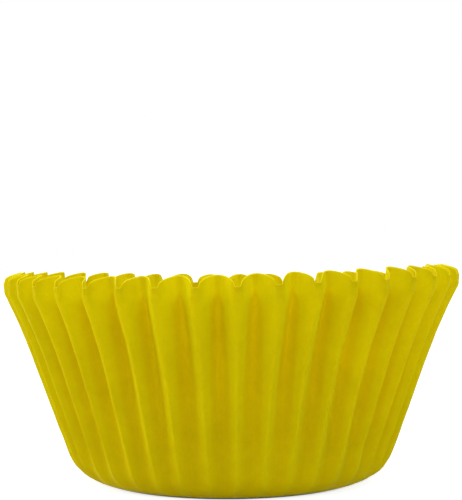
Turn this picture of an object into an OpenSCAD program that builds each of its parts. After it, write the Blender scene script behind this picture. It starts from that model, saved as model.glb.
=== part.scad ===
// Cupcake liner: one disc of paper pressed into a flat base and a fluted wall with an upright, scalloped lip.
// The origin is the centre of the base's underside, with Z up the axis of the liner and a ridge on +X.
// Every size is in millimetres, and outside sizes are taken on the outer face of the paper.

/* [Base] */
// Diameter at which the plane of the base and the line of the wall would meet
base_d = 49.7; // [40:0.1:60]
// Radius of the rounded corner between the base and the wall
corner_r = 6.4; // [2:0.1:8]

/* [Wall] */
// Height from the base plane to the crease at which the wall turns up into its lip
wall_h = 31.3; // [28:0.1:40]
// Diameter at that crease, halfway between the ridges and the valleys
mouth_d = 71.3; // [66:0.1:80]
// Height of the upper band in which the wall curves further outwards
flare_h = 11.3; // [8:0.1:18]
// How far that curve carries the crease beyond the straight wall
flare_out = 0.95; // [0:0.05:2.5]

/* [Flutes] */
// Number of flutes round the wall
flute_count = 40; // [32:4:48]
// Distance up the paper, from the edge of the flat base, at which the flutes begin
flute_start = 2; // [1:0.1:4]
// Further distance up the paper over which they rise to their full depth
flute_rise = 4; // [2:0.1:8]
// Share of the spare paper that the flutes take up, the rest being lost in small creases
flute_fullness = 0.955; // [0.85:0.005:1]
// Form of the folds low on the wall, from 1 for knife-sharp ridges to 2 for an even wave
fold_low = 1.15; // [1.1:0.05:2]
// Form of the folds at the crease, where over 2 gives broad ridges with narrow valleys
fold_high = 2.6; // [1.5:0.1:3]
// Form of the folds at the cut edge, where the ridges close up again
fold_edge = 1.2; // [1.1:0.05:2.6]

/* [Lip] */
// Height of the upright lip on a ridge, at the bottom of the notch in the cut edge
ridge_lip = 1.05; // [0.4:0.05:2]
// Height of the lip in a valley, at the top of the bump in the cut edge
valley_lip = 2.7; // [1.5:0.05:4]
// How far the lip leans outwards
lip_out = 0.1; // [0:0.02:0.5]
// Form of the bumps, from 1 for a parabola down to 0.5 for a half round
bump_form = 0.85; // [0.5:0.05:1]

/* [Paper] */
// Thickness of the paper
paper_t = 0.12; // [0.06:0.01:0.3]

/* [Hidden] */
// Points round each flute, an even number so that ridges and valleys both get one
flute_steps = 6;
// Bands of facets in the corner and in the wall between the corner and the lip
corner_steps = 3;
wall_steps = 6;
// Crowding of the wall's bands towards the corner, where the flutes grow fastest
wall_crowding = 1.2;
// How late along the paper the folds turn level, so that the crease lies in one plane
levelling = 1.5;
// Small steps along the paper and round the axis, in millimetres and degrees, that give its slope
slope_ds = 0.01;
slope_da = 0.02;

// Angle of the straight wall above the base plane
wall_tilt = atan2(wall_h, mouth_d / 2 - flare_out - base_d / 2);
// Radius of the flat base, and the length of paper and the height in the rounded corner
flat_r = base_d / 2 - corner_r * tan(wall_tilt / 2);
corner_len = corner_r * wall_tilt * PI / 180;
corner_top = corner_r * (1 - cos(wall_tilt));
// Length of paper from the edge of the flat base up to the crease
wall_len = corner_len + (wall_h - corner_top) / sin(wall_tilt);
round_steps = flute_count * flute_steps;

// Eases from 0 to 1 as x goes from 0 to 1
function ease(x) = let (t = min(1, max(0, x))) t * t * (3 - 2 * t);

// Share of the way from the flat base to the crease, and from the crease to the cut edge
function wall_share(s) = min(1, s / wall_len);
function lip_share(s) = max(0, s - wall_len) / valley_lip;

// Middle line of the corner and the wall at distance s up the paper: its radius, height and tilt
function mid_line(s) = s < corner_len ? corner_line(s) : wall_line(min(s, wall_len));

function corner_line(s) =
    let (tilt = s / corner_r * 180 / PI)
    [flat_r + corner_r * sin(tilt), corner_r * (1 - cos(tilt)), tilt];

function wall_line(s) =
    let (
        z = corner_top + (s - corner_len) * sin(wall_tilt),
        t = max(0, (z - wall_h + flare_h) / flare_h),
        r = base_d / 2 + z / tan(wall_tilt) + flare_out * t * t,
        lean = 1 / tan(wall_tilt) + 2 * flare_out * t / flare_h
    )
    [r, z, atan2(1, lean)];

// Depth of a flute: the flat disc is wider than the wall it becomes, and the folds take up the rest
function flute_depth(s) =
    let (
        paper = 2 * PI * (flat_r + min(s, wall_len)) / flute_count,
        pitch = 2 * PI * mid_line(s)[0] / flute_count,
        full = flute_fullness * sqrt(max(0, paper * paper - pitch * pitch)) / 2
    )
    full * ease((s - flute_start) / flute_rise);

// Form of the folds round the axis: 1 on a ridge and -1 in a valley
function fold_form(s) =
    let (wall_form = fold_low + (fold_high - fold_low) * pow(wall_share(s), 2))
    wall_form + (fold_edge - wall_form) * ease(lip_share(s));

function fold(s, a) = 1 - 2 * pow(abs(sin(a * flute_count / 2)), fold_form(s));

// Height of the lip round the axis, with a notch on each ridge and a round bump over each valley
function lip_height(a) =
    let (
        place = a * flute_count / 360,
        from_ridge = 1 - abs(1 - 2 * (place - floor(place))),
        bump = pow(from_ridge * (2 - from_ridge), bump_form)
    )
    ridge_lip + (valley_lip - ridge_lip) * bump;

// Point of the outer face at distance s up the paper and angle a round the axis
function outer_point(s, a) =
    let (
        m = mid_line(s),
        reach = flute_depth(s) / 2 * fold(s, a),
        level = m[2] + (90 - m[2]) * pow(wall_share(s), levelling),
        r = m[0] + reach * sin(level) + lip_out * lip_share(s),
        z = m[1] - reach * cos(level) + lip_height(a) * lip_share(s)
    )
    [r * cos(a), r * sin(a), z];

// Outward normal of the outer face at the same place
function outer_normal(s, a) =
    let (
        up = outer_point(s, a) - outer_point(s - slope_ds, a),
        round = outer_point(s, a + slope_da) - outer_point(s, a - slope_da),
        n = cross(round, up)
    )
    n / norm(n);

// Point of the inner face, one thickness of paper behind the outer one
function inner_point(s, a) =
    s == 0
    ? outer_point(s, a) + [0, 0, paper_t]
    : outer_point(s, a) - paper_t * outer_normal(s, a);

// Distances up the paper of the rings of points, from the edge of the flat base to the cut edge
function ring_places() = [
    for (i = [0 : corner_steps]) corner_len * i / corner_steps,
    for (i = [1 : wall_steps])
        corner_len + (wall_len - corner_len) * pow(i / wall_steps, wall_crowding),
    wall_len + valley_lip
];

function ring_angle(j) = 360 * j / round_steps;

// Two triangles of a band, with the diagonal turned over between the two flanks of a flute. The inner
// face runs downwards, so there it is turned once more, and both faces of the paper bend alike
function band_facets(low, j, downwards) =
    let (
        next = (j + 1) % round_steps,
        a = low + j,
        b = low + next,
        c = b + round_steps,
        d = a + round_steps
    )
    (j % flute_steps < flute_steps / 2) != downwards
    ? [[a, d, b], [b, d, c]]
    : [[a, d, c], [a, c, b]];

// The pressed sheet, with its two faces joined at the cut edge. The rings run from the rim of the
// underside up the outer face, over the cut edge and down the inner face to the rim of the floor
module pressed_paper() {
    places = ring_places();
    count = len(places);
    outer = [for (s = places, j = [0 : round_steps - 1]) outer_point(s, ring_angle(j))];
    inner = [
        for (i = [1 : count], j = [0 : round_steps - 1]) inner_point(places[count - i], ring_angle(j))
    ];
    facets = [
        for (i = [0 : 2 * count - 2], j = [0 : round_steps - 1])
            each band_facets(i * round_steps, j, i >= count)
    ];
    underside = [for (j = [0 : round_steps - 1]) j];
    floor_rim = [for (j = [1 : round_steps]) 2 * count * round_steps - j];
    polyhedron(points = concat(outer, inner), faces = concat(facets, [underside, floor_rim]));
}

module liner() {
    color([0.84, 0.76, 0.02]) pressed_paper();
}

liner();
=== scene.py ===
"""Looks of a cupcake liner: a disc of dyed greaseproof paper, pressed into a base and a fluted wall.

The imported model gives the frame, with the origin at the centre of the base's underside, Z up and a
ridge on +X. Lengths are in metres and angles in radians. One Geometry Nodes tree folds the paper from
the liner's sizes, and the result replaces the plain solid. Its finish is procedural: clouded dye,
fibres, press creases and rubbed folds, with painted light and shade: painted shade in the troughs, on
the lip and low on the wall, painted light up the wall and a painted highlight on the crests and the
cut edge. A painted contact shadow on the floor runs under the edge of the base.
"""

from __future__ import annotations

import logging
import math
from dataclasses import asdict, dataclass, field
from enum import Enum

import bpy
from mathutils import Euler, Matrix, Vector

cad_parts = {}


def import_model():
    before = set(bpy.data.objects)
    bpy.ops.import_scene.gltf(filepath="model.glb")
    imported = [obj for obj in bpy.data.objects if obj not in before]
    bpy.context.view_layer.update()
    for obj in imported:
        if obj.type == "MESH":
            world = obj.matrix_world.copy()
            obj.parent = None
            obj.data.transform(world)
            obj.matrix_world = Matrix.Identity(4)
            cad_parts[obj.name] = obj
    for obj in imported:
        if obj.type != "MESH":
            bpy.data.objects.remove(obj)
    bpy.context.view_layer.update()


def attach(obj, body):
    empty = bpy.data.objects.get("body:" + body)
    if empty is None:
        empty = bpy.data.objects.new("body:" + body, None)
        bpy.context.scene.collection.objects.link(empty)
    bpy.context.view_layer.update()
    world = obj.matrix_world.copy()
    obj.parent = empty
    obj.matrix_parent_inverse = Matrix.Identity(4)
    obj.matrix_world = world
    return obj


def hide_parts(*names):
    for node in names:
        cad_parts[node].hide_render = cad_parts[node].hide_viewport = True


log = logging.getLogger("cupcake_liner")

MM = 0.001
PHOTO_WIDTH = 462
PHOTO_HEIGHT = 500
WHITE = (1.0, 1.0, 1.0, 1.0)
# Places of a Mix node's colour sockets, behind those for numbers and vectors
MIX_COLOURS = (6, 7)
MIX_RESULT = 2

Colour = tuple[float, float, float]
Tree = bpy.types.NodeTree
Socket = bpy.types.NodeSocket
Material = bpy.types.Material


class Attr(str, Enum):
    """Names of the values that the paper's mesh carries for its finish."""

    SHEET = "sheet"
    TROUGH = "trough"
    CREST = "crest"
    LIP = "lip"


@dataclass
class Num:
    """A number or vector that a node tree works out, which takes the usual signs of arithmetic."""

    tree: Tree
    socket: Socket

    def math(self, operation: str, *others: Num | float, clamp: bool = False) -> Num:
        """Adds a Math node to the tree.

        Args:
            operation: the node's operation, such as "POWER".
            others: the operands after this number.
            clamp: whether the result is kept from 0 to 1.

        Returns:
            The node's result.
        """
        node = add_node(self.tree, "ShaderNodeMath", operation=operation, use_clamp=clamp)
        for place, value in enumerate((self, *others)):
            plug(self.tree, value, node.inputs[place])
        return Num(self.tree, node.outputs[0])

    def __add__(self, other: Num | float) -> Num:
        """Sum."""
        return self.math("ADD", other)

    def __sub__(self, other: Num | float) -> Num:
        """Difference."""
        return self.math("SUBTRACT", other)

    def __rsub__(self, other: float) -> Num:
        """Difference from a plain number."""
        return self.math("MULTIPLY_ADD", -1.0, other)

    def __mul__(self, other: Num | float) -> Num:
        """Product."""
        return self.math("MULTIPLY", other)

    def __truediv__(self, other: Num | float) -> Num:
        """Quotient."""
        return self.math("DIVIDE", other)

    def __rtruediv__(self, other: float) -> Num:
        """A plain number divided by this one."""
        return self.math("POWER", -1.0) * other

    def clamped(self) -> Num:
        """This number kept from 0 to 1."""
        return self.math("ADD", 0.0, clamp=True)

    def eased(self) -> Num:
        """This number kept from 0 to 1, easing in and out."""
        return self.mapped(0.0, 1.0, 0.0, 1.0, smooth=True)

    def mapped(
        self, low: Num | float, high: Num | float, to_low: float, to_high: float, smooth: bool = False
    ) -> Num:
        """Maps a range of this number to another range.

        Args:
            low: the value that becomes to_low.
            high: the value that becomes to_high.
            to_low: the result at the low end.
            to_high: the result at the high end.
            smooth: whether the result eases in and out.

        Returns:
            The result, which stays between its two ends.
        """
        node = add_node(self.tree, "ShaderNodeMapRange")
        node.interpolation_type = "SMOOTHSTEP" if smooth else "LINEAR"
        for place, value in enumerate((self, low, high, to_low, to_high)):
            plug(self.tree, value, node.inputs[place])
        return Num(self.tree, node.outputs[0])


@dataclass(frozen=True)
class Ramp:
    """A change of one value along another, from at_first where it begins to at_last where it ends."""

    begins: float
    ends: float
    at_first: float = 0.0
    at_last: float = 1.0
    smooth: bool = True

    def over(self, value: Num) -> Num:
        """The changing value, for a number of a node tree."""
        return value.mapped(self.begins, self.ends, self.at_first, self.at_last, self.smooth)


def plug(tree: Tree, value: Num | float | tuple[float, ...], socket: Socket) -> None:
    """Feeds a socket.

    Args:
        tree: the tree that the socket is in.
        value: a node's result, or a plain value.
        socket: the input that takes it.
    """
    if isinstance(value, Num):
        tree.links.new(value.socket, socket)
    else:
        socket.default_value = value


def add_node(tree: Tree, kind: str, **settings: object) -> bpy.types.Node:
    """Adds a node.

    Args:
        tree: the tree that it goes into.
        kind: the node's type.
        settings: the node's properties.

    Returns:
        The new node.
    """
    node = tree.nodes.new(kind)
    for name, value in settings.items():
        setattr(node, name, value)
    return node


def combined(tree: Tree, *coordinates: Num | float) -> Num:
    """Makes a vector.

    Args:
        tree: the tree that it is worked out in.
        coordinates: its X, Y and Z.

    Returns:
        The vector.
    """
    node = add_node(tree, "ShaderNodeCombineXYZ")
    for place, value in enumerate(coordinates):
        plug(tree, value, node.inputs[place])
    return Num(tree, node.outputs[0])


def separated(vector: Num) -> tuple[Num, ...]:
    """Takes a vector apart.

    Args:
        vector: the vector.

    Returns:
        Its X, Y and Z.
    """
    node = add_node(vector.tree, "ShaderNodeSeparateXYZ")
    plug(vector.tree, vector, node.inputs[0])
    return tuple(Num(vector.tree, socket) for socket in node.outputs)


@dataclass(frozen=True)
class PaperSizes:
    """Sizes of the liner, named as a maker of baking cups would.

    The crease is where the wall turns up into its lip. The fullness is the share of the spare paper
    that the flutes take up. The form of a fold is 1 for sharp ridges, 2 for an even wave and more for
    broad ridges. The shoulder is the step in of a ridge at the crease, between its low and its high
    end, and the curl turns it out again above. The notch's width is the sine across a flute, its flat
    bottom is in flutes, and the flanks turn upright early by a share of the paper.
    """

    base_radius: float = 24.85 * MM
    corner_radius: float = 6.4 * MM
    wall_height: float = 31.3 * MM
    mouth_radius: float = 35.65 * MM
    flare_height: float = 11.3 * MM
    flare_out: float = 0.95 * MM
    flute_start: float = 2.0 * MM
    flute_rise: float = 4.0 * MM
    fullness: float = 0.955
    ridge_lip: float = 1.05 * MM
    valley_lip: float = 2.7 * MM
    lip_out: float = 0.12 * MM
    lip_round: float = 0.5 * MM
    lip_open: float = 0.1
    shoulder: float = 0.35 * MM
    shoulder_low: float = 0.8 * MM
    shoulder_high: float = 0.25 * MM
    curl: float = 0.05 * MM
    notch_width: float = 0.5
    notch_flat: float = 0.077
    edge_form: float = 0.5
    flank_turn: float = 0.08
    form_low: float = 1.15
    form_high: float = 3.0
    form_edge: float = 2.7
    form_growth: float = 3.0
    levelling: float = 1.5
    crease_band: float = 1.0 * MM
    thickness: float = 0.12 * MM
    flutes: int = 40

    @property
    def wall_tilt(self) -> float:
        """Angle of the straight wall above the base plane."""
        return math.atan2(self.wall_height, self.mouth_radius - self.flare_out - self.base_radius)

    @property
    def crease_lean(self) -> float:
        """How far the wall goes outwards for each unit of height at the crease."""
        return 1 / math.tan(self.wall_tilt) + 2 * self.flare_out / self.flare_height

    @property
    def flat_radius(self) -> float:
        """Radius of the flat base."""
        return self.base_radius - self.corner_radius * math.tan(self.wall_tilt / 2)

    @property
    def corner_length(self) -> float:
        """Length of paper in the rounded corner."""
        return self.corner_radius * self.wall_tilt

    @property
    def corner_top(self) -> float:
        """Height at which the corner meets the wall."""
        return self.corner_radius * (1 - math.cos(self.wall_tilt))

    @property
    def paper_length(self) -> float:
        """Length of paper from the edge of the flat base to the crease."""
        return self.corner_length + (self.wall_height - self.corner_top) / math.sin(self.wall_tilt)

    @property
    def wall_length(self) -> float:
        """Length of paper from the corner to the crease."""
        return self.paper_length - self.corner_length

    @property
    def pitch_angle(self) -> float:
        """Angle from one flute to the next."""
        return 2 * math.pi / self.flutes


@dataclass(frozen=True)
class MeshSteps:
    """How finely the paper is divided: points round each flute and rows of faces in each band.

    The hub is the radius of the innermost ring, as a share of the flat base.
    """

    per_flute: int = 26
    base: int = 2
    corner: int = 8
    wall: int = 20
    crease: int = 4
    lip: int = 10
    hub: float = 0.25
    crowding: float = 1.1
    sharp_from: float = math.radians(60.0)

    @property
    def rows(self) -> int:
        """Rows of faces from the middle of the base to the cut edge."""
        return self.base + self.corner + self.wall + self.crease + self.lip


@dataclass(frozen=True)
class Ripple:
    """Smooth noise round the liner, by its bumps for each flute and up the wall.

    The shift sets it apart from the others.
    """

    per_flute: float
    up_wall: float
    shift: float


@dataclass(frozen=True)
class Irregularity:
    """How far the pressed paper departs from an even liner, each way.

    Spacing and sway are in flutes, and depth is a share of the flutes' own. The disc was laid off
    centre, which makes one side higher, and two opposite sides rise like a saddle.
    """

    DEPTHS = Ripple(per_flute=1.0, up_wall=1.5, shift=5.0)
    DENTS = Ripple(per_flute=1.6, up_wall=14.0, shift=9.0)
    EDGE = Ripple(per_flute=1.1, up_wall=0.0, shift=17.0)
    OVAL = Ripple(per_flute=0.075, up_wall=0.0, shift=23.0)
    SPACING = Ripple(per_flute=0.7, up_wall=0.0, shift=31.0)
    SWAY = Ripple(per_flute=0.8, up_wall=3.0, shift=37.0)

    seed: float = 3.7
    uneven_spacing: float = 0.10
    sway: float = 0.05
    uneven_depth: float = 0.10
    uneven_edge: float = 0.175 * MM
    out_of_round: float = 0.35 * MM
    dents: float = 0.10 * MM
    off_centre: float = 0.66 * MM
    off_centre_to: float = math.radians(-48.5)
    saddle: float = 0.57 * MM
    saddle_along: float = math.radians(-15.9)


@dataclass(frozen=True)
class TroughEdge:
    """Where the painted shade in the trough of each valley begins, in flutes from the ridge."""

    low: Ramp = Ramp(0.1, 0.6, 0.13, 0.21, smooth=False)
    high: Ramp = Ramp(0.6, 1.0, 0.0, 0.13, smooth=False)
    crease: Ramp = Ramp(0.955, 1.0, 0.0, 0.12, smooth=False)
    lip: float = 0.3
    softness: float = 0.05


@dataclass
class SheetPlace:
    """Where a point lies on the sheet of an even liner.

    The share is that of the way from the flat base to the crease, and the lip that from the crease to
    the cut edge. The valley is the sine of the way across a flute, 0 on its ridge and 1 in its valley,
    and across is the distance from the ridge, in flutes. The rise is that of the flutes, up to 1.
    """

    angle: Num
    share: Num
    lip: Num
    valley: Num
    across: Num
    rise: Num


@dataclass
class FlutedPaper:
    """The liner's paper: a Geometry Nodes tree that folds it, and the finished mesh."""

    NAME = "fluted_paper"
    # Least share of the paper over which it turns upright
    LEAST_TURN = 0.001
    # Sizes that are inputs of the tree
    SIZE_INPUTS = (
        "flute_start", "flute_rise", "fullness", "ridge_lip", "valley_lip", "lip_open", "shoulder",
        "shoulder_low", "shoulder_high", "curl", "notch_width", "notch_flat", "edge_form",
        "flank_turn", "form_low", "form_high", "form_edge",
    )

    sizes: PaperSizes = PaperSizes()
    steps: MeshSteps = MeshSteps()
    uneven: Irregularity = Irregularity()
    trough: TroughEdge = TroughEdge()
    values: dict[str, float] = field(init=False, default_factory=dict)
    inputs: dict[str, Num] = field(init=False, default_factory=dict)
    tree: Tree = field(init=False)

    def __post_init__(self) -> None:
        """Starts the tree."""
        self.tree = bpy.data.node_groups.new(self.NAME, "GeometryNodeTree")

    def build(self, material: Material) -> bpy.types.Object:
        """Makes the finished piece.

        Args:
            material: the finish of the paper.

        Returns:
            The paper as a plain mesh object at the origin.
        """
        self._interface()
        self._fold(material)
        mesh = self._evaluated()
        mesh.name = self.NAME
        mesh.shade_smooth()
        mesh.set_sharp_from_angle(angle=self.steps.sharp_from)
        piece = bpy.data.objects.new(self.NAME, mesh)
        bpy.context.scene.collection.objects.link(piece)
        return piece

    def _evaluated(self) -> bpy.types.Mesh:
        """Runs the tree on an empty carrier and gives the paper its thickness.

        Returns:
            The folded paper as a plain mesh.
        """
        carrier = bpy.data.objects.new("liner_carrier", bpy.data.meshes.new("liner_carrier"))
        bpy.context.scene.collection.objects.link(carrier)
        nodes = carrier.modifiers.new(self.NAME, "NODES")
        nodes.node_group = self.tree
        for item in self.tree.interface.items_tree:
            if item.item_type == "SOCKET" and item.in_out == "INPUT":
                nodes[item.identifier] = self.values[item.name]
        wall = carrier.modifiers.new("thickness", "SOLIDIFY")
        wall.thickness = self.sizes.thickness
        wall.offset = -1.0
        graph = bpy.context.evaluated_depsgraph_get()
        mesh = bpy.data.meshes.new_from_object(carrier.evaluated_get(graph), depsgraph=graph)
        bpy.data.objects.remove(carrier)
        return mesh

    def _interface(self) -> None:
        """Gives the tree its named inputs, with the liner's own values."""
        chosen = {name: getattr(self.sizes, name) for name in self.SIZE_INPUTS} | asdict(self.uneven)
        for name, value in chosen.items():
            self.values[name.replace("_", " ").capitalize()] = value
        sockets = self.tree.interface
        for name, value in self.values.items():
            socket = sockets.new_socket(name, in_out="INPUT", socket_type="NodeSocketFloat")
            socket.default_value = value
        sockets.new_socket("Geometry", in_out="OUTPUT", socket_type="NodeSocketGeometry")
        entry = add_node(self.tree, "NodeGroupInput")
        self.inputs = {name: Num(self.tree, entry.outputs[name]) for name in self.values}

    def _tube(self) -> tuple[Socket, Num, Num]:
        """Makes the blank: a tube with a closed bottom and a row of faces for each band of paper.

        Returns:
            Its mesh, the angle round it and the number of rows below each point.
        """
        tree, steps = self.tree, self.steps
        tube = add_node(tree, "GeometryNodeMeshCylinder", fill_type="NGON")
        tube.inputs["Vertices"].default_value = self.sizes.flutes * steps.per_flute
        tube.inputs["Side Segments"].default_value = steps.rows
        tube.inputs["Radius"].default_value = 1.0
        tube.inputs["Depth"].default_value = 1.0
        opened = add_node(tree, "GeometryNodeDeleteGeometry", domain="FACE")
        tree.links.new(tube.outputs["Mesh"], opened.inputs["Geometry"])
        tree.links.new(tube.outputs["Top"], opened.inputs["Selection"])
        position = add_node(tree, "GeometryNodeInputPosition").outputs[0]
        x, y, z = separated(Num(tree, position))
        return opened.outputs["Geometry"], y.math("ARCTAN2", x), (z + 0.5) * float(steps.rows)

    def _up_paper(self, row: Num) -> tuple[Num, Num, Num]:
        """Works out how far up the paper of an even liner each row lies.

        Args:
            row: number of rows below the point.

        Returns:
            Its radius on the flat base, its distance up the corner and wall, and its share of the lip.
        """
        sizes, steps = self.sizes, self.steps
        at_corner = float(steps.base)
        at_wall = at_corner + steps.corner
        at_crease = at_wall + steps.wall
        at_lip = at_crease + steps.crease
        below_crease = sizes.wall_length - sizes.crease_band
        base = row.mapped(0.0, at_corner, steps.hub * sizes.flat_radius, sizes.flat_radius)
        corner = row.mapped(at_corner, at_wall, 0.0, sizes.corner_length)
        wall = row.mapped(at_wall, at_crease, 0.0, 1.0).math("POWER", steps.crowding) * below_crease
        crease = row.mapped(at_crease, at_lip, 0.0, sizes.crease_band)
        lip = row.mapped(at_lip, float(steps.rows), 0.0, 1.0)
        return base, corner + wall + crease, lip

    def _round_noise(self, place: SheetPlace, ripple: Ripple) -> Num:
        """Makes smooth noise that closes on itself round the liner.

        Args:
            place: where the point lies on the sheet.
            ripple: how fine the noise is.

        Returns:
            A number from about -1 to 1.
        """
        tree, angle = self.tree, place.angle
        radius = self.sizes.flutes * ripple.per_flute / math.tau
        up = place.share * ripple.up_wall
        where = combined(tree, angle.math("COSINE") * radius, angle.math("SINE") * radius, up)
        texture = add_node(tree, "ShaderNodeTexNoise", noise_dimensions="4D")
        texture.inputs["Scale"].default_value = 1.0
        texture.inputs["Detail"].default_value = 1.0
        plug(tree, where, texture.inputs["Vector"])
        plug(tree, self.inputs["Seed"] + ripple.shift, texture.inputs["W"])
        return (Num(tree, texture.outputs[0]) - 0.5) * 2.0

    def _extra(self, angle: Num) -> Num:
        """Works out how much further than on an even liner the wall goes up.

        Args:
            angle: angle round the axis.

        Returns:
            The extra length of paper at the crease, from the disc laid off centre and the saddle.
        """
        given = self.inputs
        shifted = (angle - given["Off centre to"]).math("COSINE") * given["Off centre"]
        saddle = ((angle - given["Saddle along"]) * 2.0).math("COSINE") * given["Saddle"]
        return shifted + saddle

    def _mid_line(self, base: Num, up: Num) -> tuple[Num, Num, Num]:
        """Lays the middle line of the paper, seen from the side.

        Args:
            base: radius on the flat base.
            up: distance up the corner and wall.

        Returns:
            The line's radius, height and tilt above the base plane.
        """
        sizes = self.sizes
        corner_tilt = (up / sizes.corner_radius).math("MINIMUM", sizes.wall_tilt)
        past = (up - sizes.corner_length).math("MAXIMUM", 0.0)
        rise = past * math.sin(sizes.wall_tilt)
        below_flare = sizes.wall_height - sizes.flare_height
        into_flare = (rise + sizes.corner_top - below_flare) / sizes.flare_height
        flare = into_flare.math("MAXIMUM", 0.0)
        corner_r = corner_tilt.math("SINE") * sizes.corner_radius
        straight = base + corner_r + past * math.cos(sizes.wall_tilt)
        radius = straight + flare * flare * sizes.flare_out
        z = (1.0 - corner_tilt.math("COSINE")) * sizes.corner_radius + rise
        lean = flare * (2 * sizes.flare_out / sizes.flare_height) + 1 / math.tan(sizes.wall_tilt)
        wall_tilt = math.pi / 2 - lean.math("ARCTANGENT")
        on_wall = past.math("GREATER_THAN", 0.0)
        tilt = corner_tilt * (1.0 - on_wall) + wall_tilt * on_wall
        return radius, z, tilt

    def _folds(self, place: SheetPlace) -> Num:
        """Gives the folds their form round the axis.

        Args:
            place: where the point lies on the sheet.

        Returns:
            A number from 1 on a ridge to -1 in a valley.
        """
        given = self.inputs
        late = place.share.math("POWER", self.sizes.form_growth)
        wall_form = given["Form low"] + (given["Form high"] - given["Form low"]) * late
        form = wall_form + (given["Form edge"] - wall_form) * place.lip.eased()
        fold = 1.0 - place.valley.math("POWER", form) * 2.0
        return fold + (1.0 - fold) * place.lip * given["Lip open"]

    def _reach(self, place: SheetPlace, up: Num, radius: Num) -> Num:
        """Works out how far the paper stands out from its middle line.

        The flat disc is wider than the wall that it becomes, and the flutes take up the rest.

        Args:
            place: where the point lies on the sheet.
            up: distance up the corner and wall.
            radius: radius of the middle line there.

        Returns:
            The distance outwards, with the fold and the dents.
        """
        sizes, uneven, given = self.sizes, self.uneven, self.inputs
        paper = (up + sizes.flat_radius) * sizes.pitch_angle
        pitch = radius * sizes.pitch_angle
        spare = (paper * paper - pitch * pitch).math("MAXIMUM", 0.0).math("SQRT")
        varied = self._round_noise(place, uneven.DEPTHS) * given["Uneven depth"] + 1.0
        depth = spare * 0.5 * given["Fullness"] * place.rise * varied
        dents = self._round_noise(place, uneven.DENTS) * given["Dents"] * place.rise
        return depth * 0.5 * self._folds(place) + dents

    def _full_lip(self, place: SheetPlace) -> Num:
        """Cuts the edge, with a notch on each ridge and a round bump over each valley.

        Args:
            place: where the point lies on the sheet.

        Returns:
            The height of the lip.
        """
        given = self.inputs
        flat = given["Notch flat"]
        from_notch = ((place.across - flat) / (0.5 - flat)).clamped()
        to_valley = 1.0 - from_notch
        bump = (1.0 - to_valley * to_valley).math("POWER", given["Edge form"])
        uneven = self._round_noise(place, self.uneven.EDGE) * given["Uneven edge"]
        return given["Ridge lip"] + (given["Valley lip"] - given["Ridge lip"]) * bump + uneven

    def _lip_lean(self, place: SheetPlace, lip_up: Num) -> Num:
        """Turns the paper upright at the crease, the flanks a little earlier than the ridges.

        Args:
            place: where the point lies on the sheet.
            lip_up: height above the crease.

        Returns:
            The distance outwards, with the step and the curl of the lip on each ridge.
        """
        sizes, given = self.sizes, self.inputs
        valley = place.valley
        flank = valley * valley * (1.0 - valley * valley) * 4.0
        early = given["Flank turn"] * flank + self.LEAST_TURN
        begun = ((place.share - 1.0) / early + 1.0).math("MAXIMUM", 0.0)
        held_in = begun * begun * early * (0.5 * sizes.crease_lean * sizes.wall_height)
        turned_up = (1.0 - lip_up / sizes.lip_round).math("MAXIMUM", 0.0)
        lean = (1.0 - turned_up * turned_up) * (1.0 - flank) * sizes.lip_out - held_in
        near = (1.0 - valley / given["Notch width"]).eased()
        from_crease = lip_up - (1.0 - place.share) * sizes.paper_length
        low, high = given["Shoulder low"] * -1.0, given["Shoulder high"]
        stepped = from_crease.mapped(low, high, 0.0, 1.0, smooth=True)
        curled = from_crease.mapped(high, given["Ridge lip"], 0.0, 1.0)
        return lean - near * given["Shoulder"] * stepped + near * given["Curl"] * curled

    def _turned(self, place: SheetPlace) -> Num:
        """Spaces the flutes unevenly and lets them sway.

        Args:
            place: where the point lies on the sheet.

        Returns:
            The point's angle round the axis.
        """
        spacing = self._round_noise(place, self.uneven.SPACING) * self.inputs["Uneven spacing"]
        sway = self._round_noise(place, self.uneven.SWAY) * self.inputs["Sway"]
        return place.angle + (spacing + sway) * self.sizes.pitch_angle * place.rise

    def _fold(self, material: Material) -> None:
        """Folds the blank into the liner and ends the tree.

        Args:
            material: the finish of the paper.
        """
        sizes, given = self.sizes, self.inputs
        mesh, angle, row = self._tube()
        base, even_up, lip = self._up_paper(row)
        on_wall = (even_up - sizes.corner_length).math("MAXIMUM", 0.0) / sizes.wall_length
        up = even_up + on_wall * self._extra(angle)
        valley = (angle * (sizes.flutes / 2)).math("SINE").math("ABSOLUTE")
        place = SheetPlace(
            angle=angle,
            share=even_up / sizes.paper_length,
            lip=lip,
            valley=valley,
            across=valley.math("ARCSINE") / math.pi,
            rise=((up - given["Flute start"]) / given["Flute rise"]).eased(),
        )
        radius, z, tilt = self._mid_line(base, up)
        reach = self._reach(place, up, radius)
        level = tilt + (math.pi / 2 - tilt) * place.share.math("POWER", sizes.levelling)
        lip_up = lip * self._full_lip(place)
        oval = self._round_noise(place, self.uneven.OVAL) * given["Out of round"] * place.share
        r = radius + reach * level.math("SINE") + self._lip_lean(place, lip_up) + oval
        height = z - reach * level.math("COSINE") + lip_up
        turned = self._turned(place)
        folded = combined(self.tree, r * turned.math("COSINE"), r * turned.math("SINE"), height)
        self._end(self._keep(mesh, self._kept(place)), folded, material)

    def _kept(self, place: SheetPlace) -> dict[Attr, Num]:
        """Works out what the mesh carries for its finish.

        Args:
            place: where the point lies on the sheet.

        Returns:
            Each attribute and what it holds.
        """
        sizes, edge, share = self.sizes, self.trough, place.share
        up_sheet = share + place.lip * (sizes.valley_lip / sizes.paper_length)
        angle = place.angle
        sheet = combined(self.tree, angle.math("COSINE"), angle.math("SINE"), up_sheet)
        begins = edge.low.over(share) + edge.high.over(share) + edge.crease.over(share)
        begins = begins + place.lip * edge.lip
        inside = ((place.across - begins) / edge.softness).mapped(-1.0, 1.0, 0.0, 1.0, smooth=True)
        return {
            Attr.SHEET: sheet,
            # The trough mask marks where the finish paints shade into the valleys.
            Attr.TROUGH: inside * place.rise,
            Attr.LIP: place.lip,
            Attr.CREST: 1.0 - place.valley,
        }

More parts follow.
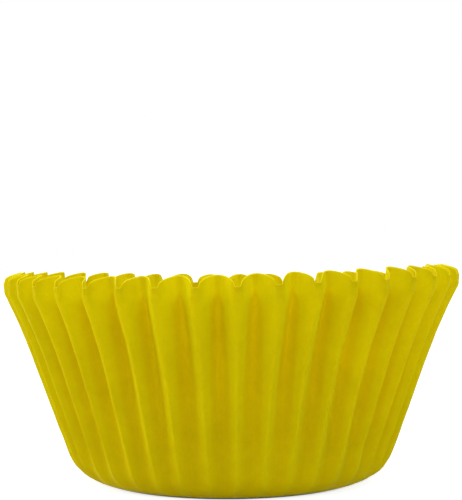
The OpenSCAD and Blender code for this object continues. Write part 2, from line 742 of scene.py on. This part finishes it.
    def _keep(self, mesh: Socket, values: dict[Attr, Num]) -> Socket:
        """Stores values on the mesh for the finish.

        Args:
            mesh: the mesh before it is moved.
            values: each attribute and what it holds.

        Returns:
            The mesh with its attributes.
        """
        for name, value in values.items():
            kind = "FLOAT_VECTOR" if value.socket.type == "VECTOR" else "FLOAT"
            store = add_node(self.tree, "GeometryNodeStoreNamedAttribute", data_type=kind)
            store.inputs["Name"].default_value = name.value
            self.tree.links.new(mesh, store.inputs["Geometry"])
            plug(self.tree, value, store.inputs["Value"])
            mesh = store.outputs["Geometry"]
        return mesh

    def _end(self, mesh: Socket, folded: Num, material: Material) -> None:
        """Moves the points to their places and ends the tree.

        Args:
            mesh: the blank with its attributes.
            folded: the place of each point.
            material: the finish of the paper.
        """
        tree = self.tree
        moved = add_node(tree, "GeometryNodeSetPosition")
        tree.links.new(mesh, moved.inputs["Geometry"])
        plug(tree, folded, moved.inputs["Position"])
        dressed = add_node(tree, "GeometryNodeSetMaterial")
        dressed.inputs["Material"].default_value = material
        tree.links.new(moved.outputs[0], dressed.inputs["Geometry"])
        real = add_node(tree, "GeometryNodeRealizeInstances")
        tree.links.new(dressed.outputs[0], real.inputs[0])
        tree.links.new(real.outputs[0], add_node(tree, "NodeGroupOutput").inputs[0])


class ShaderGroup:
    """A shader node group with named inputs and outputs."""

    def __init__(self, name: str, inputs: dict[str, float | None], outputs: tuple[str, ...]) -> None:
        """Starts the group.

        Args:
            name: the group's name.
            inputs: each input and its usual value, or None for a vector.
            outputs: the names of its values.
        """
        self.tree = bpy.data.node_groups.new(name, "ShaderNodeTree")
        sockets = self.tree.interface
        for label, value in inputs.items():
            kind = "NodeSocketVector" if value is None else "NodeSocketFloat"
            socket = sockets.new_socket(label, in_out="INPUT", socket_type=kind)
            if value is not None:
                socket.default_value = value
        for label in outputs:
            sockets.new_socket(label, in_out="OUTPUT", socket_type="NodeSocketFloat")
        self._entry = add_node(self.tree, "NodeGroupInput")
        self._exit = add_node(self.tree, "NodeGroupOutput")

    def given(self, label: str) -> Num:
        """One of the group's inputs."""
        return Num(self.tree, self._entry.outputs[label])

    def give(self, label: str, value: Num) -> None:
        """Sends a value out of the group."""
        self.tree.links.new(value.socket, self._exit.inputs[label])

    def placed(self, tree: Tree, **values: Num | float) -> dict[str, Num]:
        """Places the group in a material.

        Args:
            tree: the material's tree.
            values: the inputs that differ from the usual.

        Returns:
            The group's outputs by name.
        """
        node = add_node(tree, "ShaderNodeGroup", node_tree=self.tree)
        for name, value in values.items():
            plug(tree, value, node.inputs[name])
        return {socket.name: Num(tree, socket) for socket in node.outputs}


def noise(where: Num, scale: Num | float, detail: float, rough: float = 0.5) -> Num:
    """Makes smooth noise at a place.

    Args:
        where: the place.
        scale: bumps for each unit of length.
        detail: how many finer layers it has.
        rough: how strong the finer layers are.

    Returns:
        A number from 0 to 1, mostly near 0.5.
    """
    node = add_node(where.tree, "ShaderNodeTexNoise")
    plug(where.tree, where, node.inputs["Vector"])
    plug(where.tree, scale, node.inputs["Scale"])
    node.inputs["Detail"].default_value = detail
    node.inputs["Roughness"].default_value = rough
    return Num(where.tree, node.outputs[0])


def multiplied(vector: Num, by: Num | tuple[float, float, float]) -> Num:
    """Multiplies a place or a colour, part by part.

    Args:
        vector: the place or colour.
        by: one number for all three parts, or one for each.

    Returns:
        The new place or colour.
    """
    node = add_node(vector.tree, "ShaderNodeVectorMath", operation="MULTIPLY")
    plug(vector.tree, vector, node.inputs[0])
    plug(vector.tree, by, node.inputs[1])
    return Num(vector.tree, node.outputs[0])


@dataclass(frozen=True)
class DyeCloud:
    """Uneven take-up of the dye."""

    size: float = 9.0 * MM
    finer: float = 5.3
    fine_share: float = 0.6

    def group(self) -> ShaderGroup:
        """Builds the node group.

        Returns:
            A group that puts out a shade round 0.
        """
        group = ShaderGroup("dye_cloud", {"Place": None, "Size": self.size}, ("Shade",))
        where = group.given("Place")
        scale = 1.0 / group.given("Size")
        broad = noise(where, scale, detail=2.0) - 0.5
        fine = noise(where, scale * self.finer, detail=2.0) - 0.5
        group.give("Shade", broad + fine * self.fine_share)
        return group


@dataclass(frozen=True)
class PaperFibres:
    """Pulp fibres, a fraction of a millimetre wide, with the middle of their shade taken off it."""

    size: float = 0.5 * MM
    rough: float = 0.65
    strand_finer: float = 1.9
    strand_stretch: tuple[float, float, float] = (1.0, 1.0, 0.22)
    strand_share: float = 0.5
    middle: float = 0.75
    relief_shares: tuple[float, float] = (0.6, 0.4)

    def group(self) -> ShaderGroup:
        """Builds the node group.

        Returns:
            A group that puts out a shade round 0 and a relief.
        """
        group = ShaderGroup("paper_fibres", {"Place": None, "Size": self.size}, ("Shade", "Relief"))
        where = group.given("Place")
        scale = 1.0 / group.given("Size")
        pulp = noise(where, scale, detail=4.0, rough=self.rough)
        along = multiplied(where, self.strand_stretch)
        strands = noise(along, scale * self.strand_finer, detail=2.0)
        group.give("Shade", pulp + strands * self.strand_share - self.middle)
        of_pulp, of_strands = self.relief_shares
        group.give("Relief", pulp * of_pulp + strands * of_strands)
        return group


@dataclass(frozen=True)
class PressCreases:
    """Fine creases that the press leaves along the flutes."""

    stretch: tuple[float, float, float] = (34.0, 34.0, 5.0)
    line: Ramp = Ramp(0.0, 0.16, 1.0, 0.0, smooth=False)

    def group(self) -> ShaderGroup:
        """Builds the node group.

        Returns:
            A group that puts out a relief.
        """
        group = ShaderGroup("press_creases", {"Sheet": None}, ("Relief",))
        folds = noise(multiplied(group.given("Sheet"), self.stretch), 1.0, detail=2.0)
        group.give("Relief", self.line.over((folds - 0.5).math("ABSOLUTE")))
        return group


@dataclass(frozen=True)
class FoldWearAndHighlights:
    """Crests of the folds, where the dye is rubbed and a highlight is painted along them, and the cut
    edge, where a highlight is painted.
    """

    per_metre: float = 900.0
    crest: Ramp = Ramp(0.66, 0.96)
    broken: Ramp = Ramp(0.38, 0.62, 0.15, 1.0, smooth=False)
    cut: Ramp = Ramp(0.90, 0.99)

    def group(self) -> ShaderGroup:
        """Builds the node group.

        Returns:
            A group that puts out a mask of the rubbed crests, which also carry a painted highlight,
            and one of the cut edge.
        """
        group = ShaderGroup("fold_wear_and_highlights", {"Place": None, "Crest": 0.0, "Lip": 0.0}, ("Crest", "Cut"))
        broken = self.broken.over(noise(group.given("Place"), self.per_metre, detail=3.0))
        # The rubbed crests, which also carry a painted highlight.
        group.give("Crest", self.crest.over(group.given("Crest")) * broken)
        # Where the painted highlight of the cut edge shows.
        group.give("Cut", self.cut.over(group.given("Lip")))
        return group


@dataclass
class PaperMasks:
    """What the finish knows of each point of the paper.

    Rise is the share of the way up the paper, and lip that from the crease to the cut edge. Trough,
    crest, folded, worn and cut are masks, cloud and fibres are shades round 0, and relief is a height.
    """

    rise: Num
    trough: Num
    crest: Num
    lip: Num
    folded: Num
    cloud: Num
    fibres: Num
    relief: Num
    worn: Num
    cut: Num


@dataclass(frozen=True)
class PaperToneAndPaintedLight:
    """How light or dark the colour is over the paper: the dye's own cloud and fibres, and painted
    light and shade.

    Painted light makes the paper lighter up the wall and brightens the lobes of the lip. Painted shade
    darkens the lip, the middle of each bump, the hollow under each notch, the upper crests, the
    valleys of the lower wall, a line along each valley and a band above the base corner. The ramps at
    the lip, low on the wall and above the corner run up the paper, and the others run across a flute,
    from 0 in its valley to 1 on its ridge.
    """

    plain: float = 0.905
    # Painted light: the paper is made lighter up the wall.
    up_paper: float = 0.12
    cloud: float = 0.22
    fibres: float = 0.10
    # Painted shade: the lip is made darker.
    lip: float = 0.14
    at_lip: Ramp = Ramp(0.955, 0.995)
    # Painted light on the lobes of the lip, painted shade in the middle of each bump and in the hollow
    # under each notch.
    painted_lobe_light: Ramp = Ramp(0.0, 0.07, -0.02, 0.05)
    painted_dimple_shade: Ramp = Ramp(0.25, 0.80, 0.0, 0.15)
    lower: Ramp = Ramp(0.35, 0.75, 1.0, 0.0)
    # Painted shade on the upper crests, in the valleys of the lower wall and along each valley.
    painted_upper_crest_shade: Ramp = Ramp(0.45, 0.95, 0.0, 0.04)
    painted_lower_valley_shade: Ramp = Ramp(0.05, 0.40, 0.04, 0.0)
    painted_valley_line_shade: Ramp = Ramp(0.0, 0.04, 0.025, 0.0)
    # A band of painted shade above the base corner.
    foot: Ramp = Ramp(0.16, 0.25, 0.0, 0.035)
    foot_end: Ramp = Ramp(0.30, 0.52, 0.0, 0.035)

    def over(self, paper: PaperMasks) -> Num:
        """Works out the tone.

        Args:
            paper: what is known of the point.

        Returns:
            What the dye's colour is multiplied by.
        """
        rise, crest = paper.rise, paper.crest
        lower = self.lower.over(rise)
        # Painted light on the lobes of the lip and painted shade in its hollows.
        painted_lip_shading = self.painted_lobe_light.over(crest) - self.painted_dimple_shade.over(crest)
        # Painted light, lighter up the paper, with the dye's own cloud and fibres.
        tone = rise * self.up_paper + paper.cloud * self.cloud + paper.fibres * self.fibres
        # Painted shade on the lip.
        tone = tone - paper.lip * self.lip + self.plain
        # Painted light and shade at the lip, and painted shade on the upper crests.
        tone = tone + self.at_lip.over(rise) * painted_lip_shading - self.painted_upper_crest_shade.over(crest) * (1.0 - lower)
        # Painted shade in the valleys of the lower wall and along each valley.
        tone = tone - self.painted_lower_valley_shade.over(crest) * lower * paper.folded
        tone = tone - self.painted_valley_line_shade.over(crest) * paper.folded
        # A band of painted shade above the base corner.
        tone = tone - (self.foot.over(rise) - self.foot_end.over(rise))
        return tone.math("MAXIMUM", 0.0)


@dataclass(frozen=True)
class PaperFinish:
    """Dyed greaseproof paper: clouded dye, fibres and rubbed crests, with painted light and shade.

    The troughs carry painted shade and the crests and the cut edge a painted highlight, and the tone
    holds more painted light and shade. The ramps run up the paper. The fuzz is its sheen, and through
    is how deep light goes into it.
    """

    crest_dye: Colour = (0.64, 0.567, 0.0008)
    # Painted shade: the colour of the troughs, darker and more golden than the crests.
    painted_trough_shade: Colour = (0.62, 0.507, 0.0006)
    # Rubbed crests, partly a painted highlight along them.
    worn_and_highlight_colour: Colour = (0.66, 0.59, 0.006)
    # Painted highlight on the cut edge.
    cut_edge_highlight: Colour = (0.86, 0.76, 0.020)
    tone: PaperToneAndPaintedLight = PaperToneAndPaintedLight()
    folded: Ramp = Ramp(0.06, 0.20)
    # How much of the painted trough shade shows, up the paper.
    gold: Ramp = Ramp(0.15, 0.65, 0.5, 1.0)
    cloud_gold: float = 0.3
    # Share of the rubbed crests and their painted highlight.
    worn_share: float = 0.2
    # Share of the painted highlight on the cut edge.
    cut_highlight_share: float = 0.45
    roughness: float = 0.58
    fibre_roughness: float = 0.25
    worn_smoothness: float = 0.12
    cloud_roughness: float = 0.2
    relief_strength: float = 0.35
    relief_depth: float = 0.05 * MM
    crease_share: float = 0.5
    gloss: float = 0.02
    fuzz: float = 0.3
    fuzz_roughness: float = 0.4
    fuzz_tint: Colour = (1.0, 0.88, 0.01)
    through: float = 0.5 * MM
    through_shares: Colour = (1.0, 0.8, 0.1)

    def material(self) -> Material:
        """Builds the material.

        Returns:
            The finish, with its colour, roughness and relief from nodes.
        """
        made = bpy.data.materials.new("dyed_paper")
        made.use_nodes = True
        tree = made.node_tree
        shader = tree.nodes["Principled BSDF"]
        paper = self._masks(tree)
        plug(tree, self._colour(paper), shader.inputs["Base Color"])
        rough = paper.fibres * self.fibre_roughness - paper.worn * self.worn_smoothness
        rough = rough + paper.cloud * self.cloud_roughness + self.roughness
        plug(tree, rough.clamped(), shader.inputs["Roughness"])
        bump = add_node(tree, "ShaderNodeBump")
        bump.inputs["Strength"].default_value = self.relief_strength
        bump.inputs["Distance"].default_value = self.relief_depth
        plug(tree, paper.relief, bump.inputs["Height"])
        tree.links.new(bump.outputs[0], shader.inputs["Normal"])
        plain = {
            "Specular IOR Level": self.gloss,
            "Sheen Weight": self.fuzz,
            "Sheen Roughness": self.fuzz_roughness,
            "Sheen Tint": (*self.fuzz_tint, 1.0),
            "Subsurface Weight": 1.0,
            "Subsurface Radius": self.through_shares,
            "Subsurface Scale": self.through,
        }
        for name, value in plain.items():
            shader.inputs[name].default_value = value
        return made

    def _masks(self, tree: Tree) -> PaperMasks:
        """Reads what the mesh carries and places the shared effects.

        Args:
            tree: the material's tree.

        Returns:
            What the finish knows of each point.
        """
        place = Num(tree, add_node(tree, "ShaderNodeTexCoord").outputs["Object"])
        sheet = self._carried(tree, Attr.SHEET, "Vector")
        crest = self._carried(tree, Attr.CREST)
        lip = self._carried(tree, Attr.LIP)
        rise = separated(sheet)[2]
        folded = self.folded.over(rise)
        fibres = PaperFibres().group().placed(tree, Place=place)
        creases = PressCreases().group().placed(tree, Sheet=sheet)["Relief"]
        wear_and_highlights = FoldWearAndHighlights().group().placed(tree, Place=place, Crest=crest, Lip=lip)
        return PaperMasks(
            rise=rise,
            trough=self._carried(tree, Attr.TROUGH),
            crest=crest,
            lip=lip,
            folded=folded,
            cloud=DyeCloud().group().placed(tree, Place=place)["Shade"],
            fibres=fibres["Shade"],
            relief=fibres["Relief"] + creases * folded * self.crease_share,
            worn=wear_and_highlights["Crest"],
            cut=wear_and_highlights["Cut"],
        )

    def _carried(self, tree: Tree, name: Attr, output: str = "Fac") -> Num:
        """A value that the mesh carries."""
        node = add_node(tree, "ShaderNodeAttribute", attribute_name=name.value)
        return Num(tree, node.outputs[output])

    def _colour(self, paper: PaperMasks) -> Num:
        """Mixes the dyes with the painted shade and highlights.

        Args:
            paper: what is known of the point.

        Returns:
            The paper's colour.
        """
        # Painted shade in the troughs, more of it up the paper.
        trough_shade = paper.trough * self.gold.over(paper.rise)
        share = (trough_shade + paper.cloud * self.cloud_gold).clamped()
        dyed = self._blend(self.crest_dye, self.painted_trough_shade, share)
        toned = multiplied(dyed, self.tone.over(paper))
        # Rubbed crests with a painted highlight along them.
        rubbed = self._blend(toned, self.worn_and_highlight_colour, paper.worn * paper.folded * self.worn_share)
        # Painted highlight on the cut edge.
        return self._blend(rubbed, self.cut_edge_highlight, paper.cut * self.cut_highlight_share)

    def _blend(self, first: Num | Colour, second: Colour, share: Num) -> Num:
        """Mixes two colours.

        Args:
            first: the colour where the share is 0.
            second: the colour where it is 1.
            share: how much of the second shows.

        Returns:
            The mixed colour.
        """
        tree = share.tree
        node = add_node(tree, "ShaderNodeMix", data_type="RGBA")
        plug(tree, share, node.inputs["Factor"])
        for value, place in zip((first, second), MIX_COLOURS):
            plug(tree, value if isinstance(value, Num) else (*value, 1.0), node.inputs[place])
        return Num(tree, node.outputs[MIX_RESULT])


@dataclass(frozen=True)
class SoftBox:
    """A square studio lamp that looks at the liner."""

    name: str
    place: tuple[float, float, float]
    size: float
    power: float
    colour: Colour = (1.0, 1.0, 1.0)
    aim: tuple[float, float, float] = (0.0, 0.0, 15.0 * MM)

    def build(self) -> None:
        """Adds the lamp."""
        light = bpy.data.lights.new(self.name, "AREA")
        light.color = self.colour
        light.size = self.size
        light.energy = self.power
        lamp = bpy.data.objects.new(self.name, light)
        lamp.location = self.place
        view = Vector(self.aim) - Vector(self.place)
        lamp.rotation_euler = view.to_track_quat("-Z", "Y").to_euler()
        bpy.context.scene.collection.objects.link(lamp)


@dataclass(frozen=True)
class Studio:
    """Pale floor, white surroundings and soft lamps.

    The camera sees the backdrop and the floor's shade and glow, and the liner is lit by the sky and
    the bounce. The glow sets in between the two distances from the axis, which leaves a painted
    contact shadow, a thin dark line under the edge of the base.
    """

    lamps: tuple[SoftBox, ...] = (
        SoftBox("left", place=(-0.95, 0.08, 0.42), size=0.8, power=4.8, colour=(1.0, 0.77, 0.5)),
        SoftBox("key", place=(-0.7, -0.8, 0.75), size=0.8, power=0.4),
        SoftBox("right", place=(0.8, -0.6, 0.5), size=0.8, power=0.4, colour=(0.65, 1.0, 0.85)),
        SoftBox("front", place=(0.0, -1.05, 0.2), size=0.9, power=1.75),
        SoftBox("back", place=(0.0, 0.95, 0.45), size=0.8, power=1.9),
    )
    backdrop: float = 1.0
    sky: float = 0.88
    floor_half: float = 3.0
    floor_drop: float = 0.2 * MM
    floor_shade: float = 0.45
    floor_glow: float = 0.85
    bounce: float = 0.46
    contact: tuple[float, float] = (19.9 * MM, 21.1 * MM)

    def build(self) -> None:
        """Makes the world, the floor and the lamps."""
        self._world()
        self._floor()
        for lamp in self.lamps:
            lamp.build()

    def _world(self) -> None:
        """White surroundings, of one strength for the camera and another for the light."""
        world = bpy.data.worlds.new("studio")
        bpy.context.scene.world = world
        world.use_nodes = True
        tree = world.node_tree
        tree.nodes.clear()
        whites = []
        for strength in (self.backdrop, self.sky):
            white = add_node(tree, "ShaderNodeBackground")
            white.inputs["Color"].default_value = WHITE
            white.inputs["Strength"].default_value = strength
            whites.append(white.outputs[0])
        end = add_node(tree, "ShaderNodeOutputWorld")
        tree.links.new(self._by_ray(tree, *whites), end.inputs[0])

    def _by_ray(self, tree: Tree, shown: Socket, lighting: Socket) -> Socket:
        """Chooses between two shaders by what sees them.

        Args:
            tree: the tree that they are in.
            shown: what the camera sees, also off a gloss.
            lighting: what the other rays meet.

        Returns:
            The chosen shader.
        """
        path = add_node(tree, "ShaderNodeLightPath")
        seen = Num(tree, path.outputs["Is Camera Ray"])
        for name in ("Is Glossy Ray", "Is Transmission Ray"):
            seen = seen.math("MAXIMUM", Num(tree, path.outputs[name]))
        mix = add_node(tree, "ShaderNodeMixShader")
        for place, socket in enumerate((seen.socket, lighting, shown)):
            tree.links.new(socket, mix.inputs[place])
        return mix.outputs[0]

    def _floor(self) -> None:
        """Lays the floor, a square just under the base."""
        half = self.floor_half
        low = -self.floor_drop
        square = [(-half, -half, low), (half, -half, low), (half, half, low), (-half, half, low)]
        mesh = bpy.data.meshes.new("floor")
        mesh.from_pydata(square, [], [(0, 1, 2, 3)])
        mesh.materials.append(self._floor_finish())
        floor = bpy.data.objects.new("floor", mesh)
        bpy.context.scene.collection.objects.link(floor)

    def _floor_finish(self) -> Material:
        """Makes the floor white where nothing shades it, with a painted contact shadow under the edge
        of the base and little light thrown back.

        Returns:
            The floor's material.
        """
        material = bpy.data.materials.new("floor")
        material.use_nodes = True
        tree = material.node_tree
        tree.nodes.clear()
        shade, dull = (add_node(tree, "ShaderNodeBsdfDiffuse") for _ in range(2))
        shade.inputs["Color"].default_value = (*[self.floor_shade] * 3, 1.0)
        dull.inputs["Color"].default_value = (*[self.bounce] * 3, 1.0)
        glow = add_node(tree, "ShaderNodeEmission")
        glow.inputs["Color"].default_value = WHITE
        from_axis = add_node(tree, "ShaderNodeVectorMath", operation="LENGTH")
        place = add_node(tree, "ShaderNodeTexCoord").outputs["Object"]
        tree.links.new(place, from_axis.inputs[0])
        # Painted contact shadow: the floor's glow is left out under the edge of the base.
        glow_sets_in = Ramp(*self.contact, 0.0, self.floor_glow)
        strength = glow_sets_in.over(Num(tree, from_axis.outputs["Value"]))
        plug(tree, strength, glow.inputs["Strength"])
        shown = add_node(tree, "ShaderNodeAddShader")
        for part, node in enumerate((shade, glow)):
            tree.links.new(node.outputs[0], shown.inputs[part])
        mixed = self._by_ray(tree, shown.outputs[0], dull.outputs[0])
        tree.links.new(mixed, add_node(tree, "ShaderNodeOutputMaterial").inputs[0])
        return material


@dataclass(frozen=True)
class PhotoCamera:
    """The photograph's camera, as fitted to the liner's outline and flutes.

    The focal length and the place of the liner's axis are in pixels of the photograph, the sensor's
    width is in millimetres, and the azimuth is the angle from -Y.
    """

    distance: float = 0.227
    height: float = 0.03672
    focal_px: float = 1366.0
    axis_px: float = 229.7
    pitch: float = 0.0036
    roll: float = 0.0064
    azimuth: float = 0.0257
    sensor: float = 36.0
    near: float = 0.01

    def build(self) -> None:
        """Adds the camera and makes it the scene's own."""
        data = bpy.data.cameras.new("camera")
        data.sensor_width = self.sensor
        data.lens = self.focal_px * self.sensor / PHOTO_HEIGHT
        data.clip_start = self.near
        camera = bpy.data.objects.new("camera", data)
        turn = Matrix.Rotation(-self.azimuth, 4, "Z")
        camera.location = turn @ Vector((0.0, -self.distance, self.height))
        yaw = math.atan((PHOTO_WIDTH / 2 - self.axis_px) / self.focal_px)
        aim = Euler((math.pi / 2 + self.pitch, 0.0, -yaw), "XYZ").to_matrix().to_4x4()
        camera.rotation_euler = (turn @ aim @ Matrix.Rotation(-self.roll, 4, "Z")).to_euler()
        bpy.context.scene.collection.objects.link(camera)
        bpy.context.scene.camera = camera


def main() -> None:
    """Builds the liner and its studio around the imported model."""
    logging.basicConfig(level=logging.INFO, format="%(name)s: %(message)s")
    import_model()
    scene = bpy.context.scene
    scene.view_settings.view_transform = "Standard"
    PhotoCamera().build()
    Studio().build()
    piece = FlutedPaper().build(PaperFinish().material())
    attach(piece, "root")
    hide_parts("liner")
    triangles = sum(len(face.vertices) - 2 for face in piece.data.polygons)
    log.info("%s: %d triangles", piece.name, triangles)


if __name__ == "__main__":
    main()
